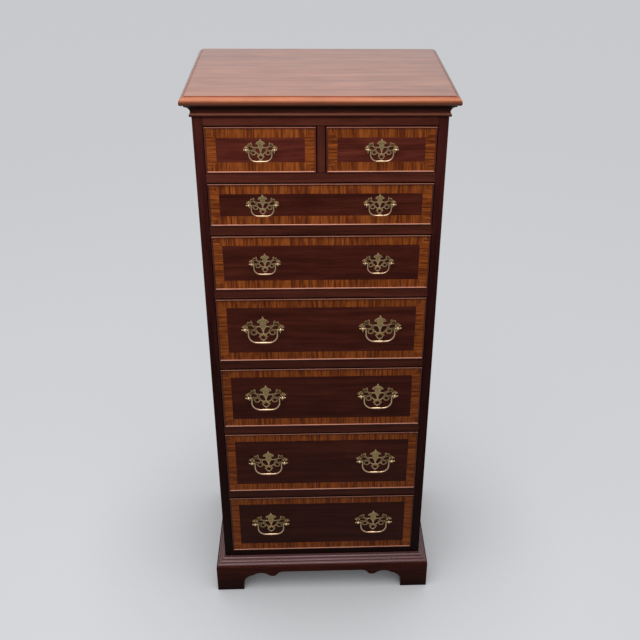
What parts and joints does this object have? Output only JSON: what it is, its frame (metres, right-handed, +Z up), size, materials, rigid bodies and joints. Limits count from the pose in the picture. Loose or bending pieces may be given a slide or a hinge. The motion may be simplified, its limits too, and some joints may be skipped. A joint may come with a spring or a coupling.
{
  "type": "tall chest of drawers",
  "caption": "Tall narrow mahogany chest of drawers with crossbanded fronts, bail pulls, moulded top and bracket base.",
  "frame": {"origin": "on the floor, under the middle of the chest's overall box", "axes": "+Z up, the drawers open towards -Y, +X to the right as seen from the front"},
  "size_m": [0.6252, 0.4354, 1.502],
  "materials": {
    "mahogany": "dark red-brown mahogany, satin lacquer",
    "crossbanding": "orange-brown figured crossbanding veneer, satin lacquer",
    "drawer_wood": "plain pale hardwood, sealed",
    "back_wood": "stained plywood",
    "brass": "aged cast brass"
  },
  "bodies": {
    "root": {"top_board": "mahogany", "cornice_moulding": "mahogany", "side_panel_left": "mahogany", "side_panel_right": "mahogany", "back_panel": "back_wood", "front_rails": "mahogany", "drawer_divider": "mahogany", "drawer_runners": "drawer_wood", "base_front": "mahogany", "base_left": "mahogany", "base_right": "mahogany", "base_moulding": "mahogany", "base_back_rail": "drawer_wood", "glue_blocks": "drawer_wood"},
    "drawer_1_left": {"drawer_1_left_front": "mahogany", "drawer_1_left_banding": "crossbanding", "drawer_1_left_box": "drawer_wood", "drawer_1_left_pulls": "brass"},
    "drawer_1_left_bail": {"drawer_1_left_bail": "brass"},
    "drawer_1_right": {"drawer_1_right_front": "mahogany", "drawer_1_right_banding": "crossbanding", "drawer_1_right_box": "drawer_wood", "drawer_1_right_pulls": "brass"},
    "drawer_1_right_bail": {"drawer_1_right_bail": "brass"},
    "drawer_2": {"drawer_2_front": "mahogany", "drawer_2_banding": "crossbanding", "drawer_2_box": "drawer_wood", "drawer_2_pulls": "brass"},
    "drawer_2_bail_left": {"drawer_2_bail_left": "brass"},
    "drawer_2_bail_right": {"drawer_2_bail_right": "brass"},
    "drawer_3": {"drawer_3_front": "mahogany", "drawer_3_banding": "crossbanding", "drawer_3_box": "drawer_wood", "drawer_3_pulls": "brass"},
    "drawer_3_bail_left": {"drawer_3_bail_left": "brass"},
    "drawer_3_bail_right": {"drawer_3_bail_right": "brass"},
    "drawer_4": {"drawer_4_front": "mahogany", "drawer_4_banding": "crossbanding", "drawer_4_box": "drawer_wood", "drawer_4_pulls": "brass"},
    "drawer_4_bail_left": {"drawer_4_bail_left": "brass"},
    "drawer_4_bail_right": {"drawer_4_bail_right": "brass"},
    "drawer_5": {"drawer_5_front": "mahogany", "drawer_5_banding": "crossbanding", "drawer_5_box": "drawer_wood", "drawer_5_pulls": "brass"},
    "drawer_5_bail_left": {"drawer_5_bail_left": "brass"},
    "drawer_5_bail_right": {"drawer_5_bail_right": "brass"},
    "drawer_6": {"drawer_6_front": "mahogany", "drawer_6_banding": "crossbanding", "drawer_6_box": "drawer_wood", "drawer_6_pulls": "brass"},
    "drawer_6_bail_left": {"drawer_6_bail_left": "brass"},
    "drawer_6_bail_right": {"drawer_6_bail_right": "brass"},
    "drawer_7": {"drawer_7_front": "mahogany", "drawer_7_banding": "crossbanding", "drawer_7_box": "drawer_wood", "drawer_7_pulls": "brass"},
    "drawer_7_bail_left": {"drawer_7_bail_left": "brass"},
    "drawer_7_bail_right": {"drawer_7_bail_right": "brass"}
  },
  "joints": [
    {"name": "drawer_1_left_slide", "type": "slide", "parent": "root", "child": "drawer_1_left", "axis": [0, -1, 0], "range_m": [0, 0.3]},
    {"name": "drawer_1_left_bail_swing", "type": "hinge", "parent": "drawer_1_left", "child": "drawer_1_left_bail", "pos_m": [-0.1372, -0.20825, 1.3798], "axis": [-1, 0, 0], "range_deg": [-25, 205]},
    {"name": "drawer_1_right_slide", "type": "slide", "parent": "root", "child": "drawer_1_right", "axis": [0, -1, 0], "range_m": [0, 0.3]},
    {"name": "drawer_1_right_bail_swing", "type": "hinge", "parent": "drawer_1_right", "child": "drawer_1_right_bail", "pos_m": [0.1372, -0.20825, 1.3798], "axis": [-1, 0, 0], "range_deg": [-25, 205]},
    {"name": "drawer_2_slide", "type": "slide", "parent": "root", "child": "drawer_2", "axis": [0, -1, 0], "range_m": [0, 0.3]},
    {"name": "drawer_2_bail_left_swing", "type": "hinge", "parent": "drawer_2", "child": "drawer_2_bail_left", "pos_m": [-0.1372, -0.20825, 1.2453], "axis": [-1, 0, 0], "range_deg": [-25, 205]},
    {"name": "drawer_2_bail_right_swing", "type": "hinge", "parent": "drawer_2", "child": "drawer_2_bail_right", "pos_m": [0.1372, -0.20825, 1.2453], "axis": [-1, 0, 0], "range_deg": [-25, 205]},
    {"name": "drawer_3_slide", "type": "slide", "parent": "root", "child": "drawer_3", "axis": [0, -1, 0], "range_m": [0, 0.3]},
    {"name": "drawer_3_bail_left_swing", "type": "hinge", "parent": "drawer_3", "child": "drawer_3_bail_left", "pos_m": [-0.1372, -0.20825, 1.09185], "axis": [-1, 0, 0], "range_deg": [-25, 205]},
    {"name": "drawer_3_bail_right_swing", "type": "hinge", "parent": "drawer_3", "child": "drawer_3_bail_right", "pos_m": [0.1372, -0.20825, 1.09185], "axis": [-1, 0, 0], "range_deg": [-25, 205]},
    {"name": "drawer_4_slide", "type": "slide", "parent": "root", "child": "drawer_4", "axis": [0, -1, 0], "range_m": [0, 0.3]},
    {"name": "drawer_4_bail_left_swing", "type": "hinge", "parent": "drawer_4", "child": "drawer_4_bail_left", "pos_m": [-0.148, -0.20825, 0.9068], "axis": [-1, 0, 0], "range_deg": [-16, 196]},
    {"name": "drawer_4_bail_right_swing", "type": "hinge", "parent": "drawer_4", "child": "drawer_4_bail_right", "pos_m": [0.148, -0.20825, 0.9068], "axis": [-1, 0, 0], "range_deg": [-16, 196]},
    {"name": "drawer_5_slide", "type": "slide", "parent": "root", "child": "drawer_5", "axis": [0, -1, 0], "range_m": [0, 0.3]},
    {"name": "drawer_5_bail_left_swing", "type": "hinge", "parent": "drawer_5", "child": "drawer_5_bail_left", "pos_m": [-0.148, -0.20825, 0.69705], "axis": [-1, 0, 0], "range_deg": [-16, 196]},
    {"name": "drawer_5_bail_right_swing", "type": "hinge", "parent": "drawer_5", "child": "drawer_5_bail_right", "pos_m": [0.148, -0.20825, 0.69705], "axis": [-1, 0, 0], "range_deg": [-16, 196]},
    {"name": "drawer_6_slide", "type": "slide", "parent": "root", "child": "drawer_6", "axis": [0, -1, 0], "range_m": [0, 0.3]},
    {"name": "drawer_6_bail_left_swing", "type": "hinge", "parent": "drawer_6", "child": "drawer_6_bail_left", "pos_m": [-0.148, -0.20825, 0.4766], "axis": [-1, 0, 0], "range_deg": [-16, 196]},
    {"name": "drawer_6_bail_right_swing", "type": "hinge", "parent": "drawer_6", "child": "drawer_6_bail_right", "pos_m": [0.148, -0.20825, 0.4766], "axis": [-1, 0, 0], "range_deg": [-16, 196]},
    {"name": "drawer_7_slide", "type": "slide", "parent": "root", "child": "drawer_7", "axis": [0, -1, 0], "range_m": [0, 0.3]},
    {"name": "drawer_7_bail_left_swing", "type": "hinge", "parent": "drawer_7", "child": "drawer_7_bail_left", "pos_m": [-0.148, -0.20825, 0.25075], "axis": [-1, 0, 0], "range_deg": [-16, 196]},
    {"name": "drawer_7_bail_right_swing", "type": "hinge", "parent": "drawer_7", "child": "drawer_7_bail_right", "pos_m": [0.148, -0.20825, 0.25075], "axis": [-1, 0, 0], "range_deg": [-16, 196]}
  ]
}
